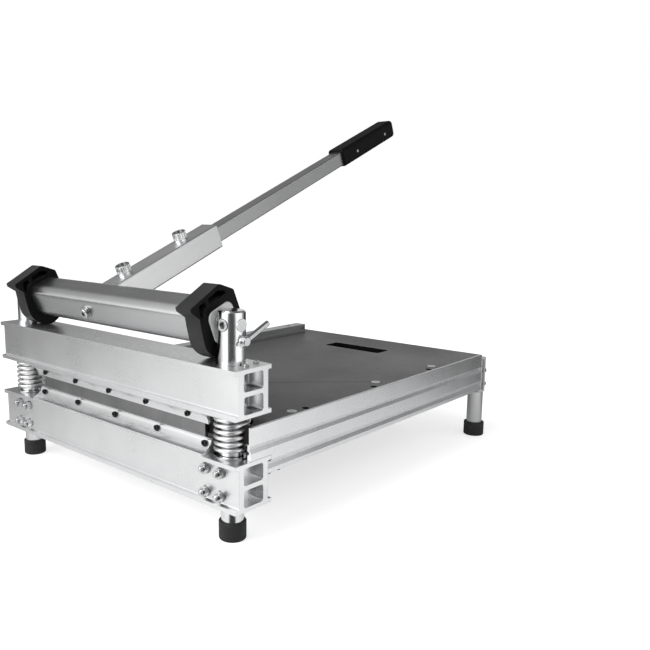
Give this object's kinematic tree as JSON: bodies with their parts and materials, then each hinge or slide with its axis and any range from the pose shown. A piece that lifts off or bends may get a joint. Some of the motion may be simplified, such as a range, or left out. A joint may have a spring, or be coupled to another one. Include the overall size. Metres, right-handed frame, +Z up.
{
  "type": "plank guillotine cutter",
  "caption": "Bench plank cutter: a long hand lever turns a tube with cams that press a sprung, bladed beam down onto a flat table with a fence.",
  "frame": {"origin": "middle of the bounding box, on the plane under the feet", "axes": "+X along the beams towards the lock screw, +Y to the back of the table, +Z up"},
  "size_m": [0.4535, 0.6652, 0.4893],
  "materials": {
    "aluminium": "mill finish with a soft sheen",
    "polished_steel": "turned and polished",
    "blade_steel": "ground, dark",
    "black_steel": "black oxide",
    "black_plastic": "moulded, satin",
    "black_rubber": "matt",
    "grip_rubber": "moulded, satin",
    "board": "dark grey mottled laminate on fibreboard"
  },
  "bodies": {
    "base": {"lower_beam": "aluminium", "side_rail_left": "aluminium", "side_rail_right": "aluminium", "rear_rail": "aluminium", "lower_blade_holder": "aluminium", "clamp_blocks": "aluminium", "fence_bar": "aluminium", "fence_end_cap": "aluminium", "blade_support_bar": "aluminium", "guide_post_left": "polished_steel", "guide_post_right": "polished_steel", "rear_leg_left": "aluminium", "rear_leg_right": "aluminium", "front_studs": "polished_steel", "front_nuts": "polished_steel", "spring_left": "polished_steel", "spring_right": "polished_steel", "spring_seats_lower": "polished_steel", "pivot_pin_left": "polished_steel", "pivot_pin_right": "polished_steel", "pivot_spacers": "polished_steel", "post_set_screws": "polished_steel", "table_screws": "polished_steel", "rail_bracket_left": "polished_steel", "rail_bracket_right": "polished_steel", "lower_blade": "blade_steel", "lower_blade_screws": "black_steel", "rear_rail_screws": "black_steel", "fence_screws": "black_steel", "bracket_screws": "black_steel", "foot_front_left": "black_rubber", "foot_front_right": "black_rubber", "foot_rear_left": "black_rubber", "foot_rear_right": "black_rubber", "table_board": "board"},
    "press_beam": {"upper_beam": "aluminium", "bush_screws": "polished_steel", "spring_seats_upper": "polished_steel", "upper_blade_holder": "aluminium", "upper_blade": "blade_steel", "upper_blade_backing": "aluminium", "upper_blade_screws": "black_steel", "guide_bush_left": "polished_steel", "guide_bush_right": "polished_steel"},
    "lever": {"cam_tube": "aluminium", "end_plate_left": "aluminium", "end_plate_right": "aluminium", "cam_left": "black_plastic", "cam_right": "black_plastic", "lever_channel": "aluminium", "lever_bolt": "polished_steel", "channel_sleeve": "black_plastic"},
    "handle": {"handle_tube": "aluminium", "handle_slider": "black_plastic", "grip": "grip_rubber", "grip_rivets": "polished_steel"},
    "knob_lower": {"clamp_knob_lower": "polished_steel"},
    "knob_upper": {"clamp_knob_upper": "polished_steel"},
    "lock": {"lock_screw": "polished_steel", "lock_bar": "polished_steel"}
  },
  "joints": [
    {"name": "lever_pivot", "type": "hinge", "parent": "base", "child": "lever", "pos_m": [-0.0018, -0.293, 0.225], "axis": [1, 0, 0], "range_deg": [0, 59]},
    {"name": "beam_slide", "type": "slide", "parent": "base", "child": "press_beam", "axis": [0, 0, 1], "range_m": [0, 0.0105], "stiffness_N_per_m": 1500, "springref_m": 0.03, "deforming": ["spring_left", "spring_right"]},
    {"name": "handle_slide", "type": "slide", "parent": "lever", "child": "handle", "axis": [0, 0.9252, 0.3795], "range_m": [0, 0.09]},
    {"name": "knob_lower_turn", "type": "hinge", "parent": "lever", "child": "knob_lower", "pos_m": [-0.0368, -0.24888, 0.25736], "axis": [0, -0.3795, 0.9252], "continuous": true},
    {"name": "knob_upper_turn", "type": "hinge", "parent": "lever", "child": "knob_upper", "pos_m": [-0.0368, -0.15608, 0.29542], "axis": [0, -0.3795, 0.9252], "continuous": true},
    {"name": "lock_turn", "type": "hinge", "parent": "base", "child": "lock", "pos_m": [0.2075, -0.293, 0.2095], "axis": [1, 0, 0], "range_deg": [-30, 150]}
  ],
  "couplings": [
    {"joint": "beam_slide", "follows": "lever_pivot", "m_per_rad": 0.010197}
  ]
}
